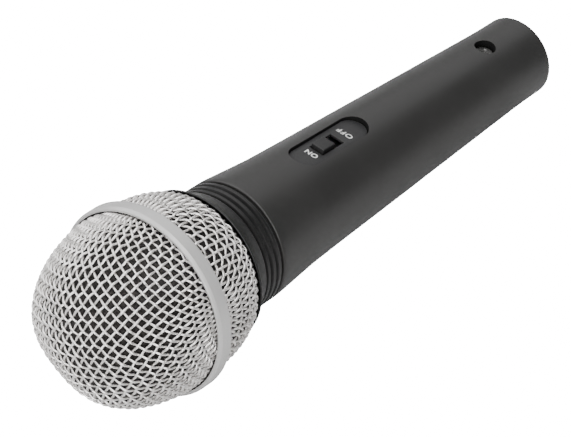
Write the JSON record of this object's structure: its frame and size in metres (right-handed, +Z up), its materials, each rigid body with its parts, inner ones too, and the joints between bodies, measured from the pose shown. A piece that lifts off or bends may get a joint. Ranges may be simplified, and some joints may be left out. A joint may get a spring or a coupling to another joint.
{
  "type": "dynamic microphone",
  "caption": "Hand-held dynamic vocal microphone with a round wire-mesh ball grille, screw-on ribbed collar, tapered black handle and on/off slide switch.",
  "frame": {"origin": "centre of the bounding box's base: the floor under the middle of the microphone, which lies at rest on its band and tail", "axes": "+X from the ball to the tail, +Z up out of the floor; the microphone's own axis slopes 5.5 degrees down towards the tail and the switch faces up"},
  "size_m": [0.186, 0.0524, 0.0525],
  "materials": {
    "wire_mesh": "satin silver-grey woven wire",
    "band_finish": "satin light grey",
    "black_metal": "black satin powder coat",
    "handle_metal": "black satin coating over metal",
    "black_plastic": "fine matte moulded",
    "plate_plastic": "dark grey matte moulded",
    "rubber": "matte",
    "foam": "open-cell foam, matte",
    "brass": "bright drawn",
    "steel": "zinc plated",
    "pin_plate": "silver plated, polished",
    "magnet": "nickel plated",
    "film": "translucent moulded film",
    "copper": "enamelled copper wire",
    "felt": "grey felt",
    "board": "brown phenolic board",
    "red_wire": "red insulation",
    "white_wire": "white insulation"
  },
  "bodies": {
    "handle": {"handle_shell": "handle_metal", "threaded_neck": "black_metal", "shock_mount_front": "rubber", "shock_mount_rear": "rubber", "switch_plate": "plate_plastic", "switch_frame": "steel", "switch_base": "board", "switch_terminal_1": "brass", "switch_terminal_2": "brass", "switch_terminal_3": "brass", "switch_screw_front": "steel", "switch_screw_rear": "steel", "xlr_insert": "black_plastic", "xlr_pin_1": "pin_plate", "xlr_pin_2": "pin_plate", "xlr_pin_3": "pin_plate", "xlr_set_screw": "steel", "ground_tab": "brass", "lead_capsule_hot": "red_wire", "lead_capsule_cold": "white_wire", "lead_pin_hot": "red_wire", "lead_pin_cold": "white_wire"},
    "collar_seal": {"collar_seal_ring": "rubber"},
    "grille": {"grille_collar": "black_metal", "grille_front_mesh": "wire_mesh", "grille_rear_mesh": "wire_mesh", "grille_band": "band_finish", "foam_cup": "foam", "foam_ring": "foam"},
    "capsule": {"capsule_housing": "black_plastic", "resonator_cap": "black_plastic", "acoustic_screen": "felt", "pole_top_plate": "steel", "pole_piece": "steel", "magnet": "magnet", "yoke_cup": "steel", "capsule_terminal_board": "board", "capsule_lug_hot": "brass", "capsule_lug_cold": "brass"},
    "diaphragm": {"diaphragm": "film", "voice_coil": "copper"},
    "switch_slider": {"switch_knob": "black_plastic", "moving_contact": "brass"}
  },
  "joints": [
    {"name": "grille_advance", "type": "slide", "parent": "handle", "child": "collar_seal", "axis": [-0.9955, 0, 0.0946], "range_m": [0, 0.00301]},
    {"name": "grille_unscrew", "type": "hinge", "parent": "collar_seal", "child": "grille", "pos_m": [-0.0559, 0, 0.02555], "axis": [-0.9955, 0, 0.0946], "range_deg": [0, 1080]},
    {"name": "switch_slide", "type": "slide", "parent": "handle", "child": "switch_slider", "axis": [0.9912, 0, -0.1324], "range_m": [0, 0.0034]},
    {"name": "capsule_float", "type": "slide", "parent": "handle", "child": "capsule", "axis": [0.9955, 0, -0.0946], "range_m": [-0.0006, 0.0006], "stiffness_N_per_m": 2000},
    {"name": "diaphragm_excursion", "type": "slide", "parent": "capsule", "child": "diaphragm", "axis": [0.9955, 0, -0.0946], "range_m": [-0.00025, 0.00025], "stiffness_N_per_m": 100}
  ],
  "couplings": [
    {"joint": "grille_advance", "follows": "grille_unscrew", "m_per_rad": 0.00015915}
  ]
}
